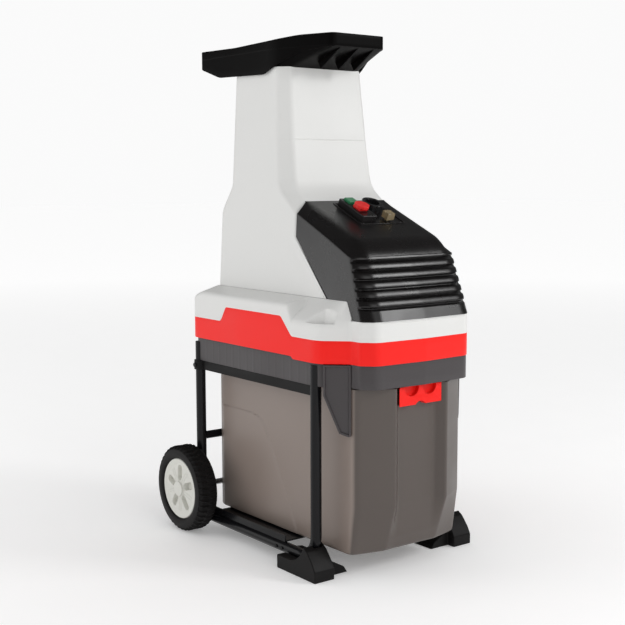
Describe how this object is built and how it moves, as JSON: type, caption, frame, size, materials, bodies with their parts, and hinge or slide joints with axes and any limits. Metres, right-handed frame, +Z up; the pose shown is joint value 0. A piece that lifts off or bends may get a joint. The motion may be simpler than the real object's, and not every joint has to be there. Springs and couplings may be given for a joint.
{
  "type": "electric garden shredder",
  "caption": "Upright electric garden shredder: feed funnel and chute over a geared cutting roller, motor cover with switches, slide-out collection box, wheeled tube frame.",
  "frame": {"origin": "middle of the machine's footprint on the ground, under the centre of its bounding box", "axes": "+Z up, +X to the machine's right as seen from the front-left camera side (across the wheels), -Y towards the front with the motor cover and the box latch"},
  "size_m": [0.442, 0.586, 0.979],
  "materials": {
    "gloss_black_tube": "gloss black enamel on steel tube",
    "black_strap": "black moulded strap",
    "zinc_steel": "zinc-plated steel",
    "dark_housing": "dark grey moulded plastic, fine grain",
    "tyre": "solid black plastic tyre",
    "light_hub": "light grey moulded wheel body",
    "red_band": "bright red moulded plastic",
    "light_shell": "light grey moulded plastic, fine grain",
    "black_shell": "black moulded plastic, satin",
    "inlet": "gloss black plastic collar",
    "brass": "turned brass",
    "green_button": "green button",
    "red_button": "red button",
    "clear_cap": "clear smoky cap over the overload release",
    "box_plastic": "warm grey slightly translucent moulded plastic",
    "lamination": "stacked steel laminations",
    "copper": "lacquered copper wire",
    "white_can": "white moulded case",
    "gear_steel": "cut steel",
    "cast_alloy": "sand-cast alloy",
    "hard_steel": "hardened steel"
  },
  "bodies": {
    "chassis": {"frame_left": "gloss_black_tube", "frame_right": "gloss_black_tube", "strap_left": "black_strap", "strap_right": "black_strap", "cross_tube": "gloss_black_tube", "axle": "zinc_steel", "axle_clips": "zinc_steel", "foot_left": "black_strap", "foot_right": "black_strap", "runner_left": "gloss_black_tube", "runner_right": "gloss_black_tube", "frame_screws": "gloss_black_tube", "base_housing": "dark_housing", "red_band": "red_band", "upper_housing": "light_shell", "feed_chute": "light_shell", "funnel": "black_shell", "motor_cover": "black_shell", "switch_plate": "black_shell", "switch_block": "black_shell", "mains_inlet": "inlet", "inlet_pins": "brass", "housing_screws": "zinc_steel", "safety_switch": "black_shell", "motor_can": "zinc_steel", "stator": "lamination", "windings": "copper", "capacitor": "white_can", "gearbox_case": "cast_alloy", "gearbox_cover": "cast_alloy", "gear_pins": "zinc_steel", "cutter_frame": "cast_alloy", "roller_bushes": "brass"},
    "wheel_left": {"tyre_left": "tyre", "hub_left": "light_hub", "hub_cap_left": "light_hub"},
    "wheel_right": {"tyre_right": "tyre", "hub_right": "light_hub", "hub_cap_right": "light_hub"},
    "rotor": {"rotor_shaft": "zinc_steel", "rotor_core": "lamination", "cooling_fan": "black_shell"},
    "first_idler": {"first_gear": "gear_steel"},
    "second_idler": {"second_gear": "gear_steel"},
    "roller": {"output_gear": "gear_steel", "cutting_roller": "hard_steel"},
    "box": {"collection_box": "box_plastic"},
    "latch": {"box_latch": "red_band"},
    "plunger": {"safety_plunger": "red_button"},
    "start": {"start_button": "green_button"},
    "stop": {"stop_button": "red_button"},
    "reset": {"reset_cap": "clear_cap"},
    "adjuster": {"adjusting_screw": "hard_steel", "adjuster_knob": "black_shell"},
    "counter_plate": {"pressure_plate": "cast_alloy"}
  },
  "joints": [
    {"name": "wheel_left_spin", "type": "hinge", "parent": "chassis", "child": "wheel_left", "pos_m": [-0.2, 0.2055, 0.0875], "axis": [1, 0, 0], "continuous": true},
    {"name": "wheel_right_spin", "type": "hinge", "parent": "chassis", "child": "wheel_right", "pos_m": [0.2, 0.2055, 0.0875], "axis": [1, 0, 0], "continuous": true},
    {"name": "rotor_spin", "type": "hinge", "parent": "chassis", "child": "rotor", "pos_m": [0, -0.128, 0.52517], "axis": [0, 1, 0], "continuous": true},
    {"name": "first_gear_spin", "type": "hinge", "parent": "chassis", "child": "first_idler", "pos_m": [-0.0435, -0.038, 0.52517], "axis": [0, 1, 0], "continuous": true},
    {"name": "second_gear_spin", "type": "hinge", "parent": "chassis", "child": "second_idler", "pos_m": [-0.06333, -0.028, 0.47656], "axis": [0, 1, 0], "continuous": true},
    {"name": "roller_spin", "type": "hinge", "parent": "chassis", "child": "roller", "pos_m": [0, 0.082, 0.44], "axis": [0, 1, 0], "continuous": true},
    {"name": "box_slide", "type": "slide", "parent": "chassis", "child": "box", "axis": [0, -1, 0], "range_m": [0, 0.4]},
    {"name": "latch_slide", "type": "slide", "parent": "box", "child": "latch", "axis": [0, 0, 1], "range_m": [0, 0.014]},
    {"name": "plunger_slide", "type": "slide", "parent": "chassis", "child": "plunger", "axis": [0, 0, 1], "range_m": [0, 0.004]},
    {"name": "start_press", "type": "slide", "parent": "chassis", "child": "start", "axis": [0, 0.4026, -0.9154], "range_m": [0, 0.003], "stiffness_N_per_m": 400},
    {"name": "stop_press", "type": "slide", "parent": "chassis", "child": "stop", "axis": [0, 0.4026, -0.9154], "range_m": [0, 0.003], "stiffness_N_per_m": 400},
    {"name": "reset_press", "type": "slide", "parent": "chassis", "child": "reset", "axis": [0, 0.4026, -0.9154], "range_m": [0, 0.003], "stiffness_N_per_m": 400},
    {"name": "adjuster_turn", "type": "hinge", "parent": "chassis", "child": "adjuster", "pos_m": [0.15, 0.086, 0.44], "axis": [1, 0, 0], "range_deg": [0, 732]},
    {"name": "plate_slide", "type": "slide", "parent": "chassis", "child": "counter_plate", "axis": [-1, 0, 0], "range_m": [0, 0.006]}
  ],
  "couplings": [
    {"joint": "first_gear_spin", "follows": "rotor_spin", "ratio": -0.23404},
    {"joint": "second_gear_spin", "follows": "rotor_spin", "ratio": 0.058511},
    {"joint": "roller_spin", "follows": "rotor_spin", "ratio": -0.014628},
    {"joint": "plunger_slide", "follows": "latch_slide", "ratio": 0.28571},
    {"joint": "adjuster_turn", "follows": "plate_slide", "rad_per_m": 2094.4}
  ]
}
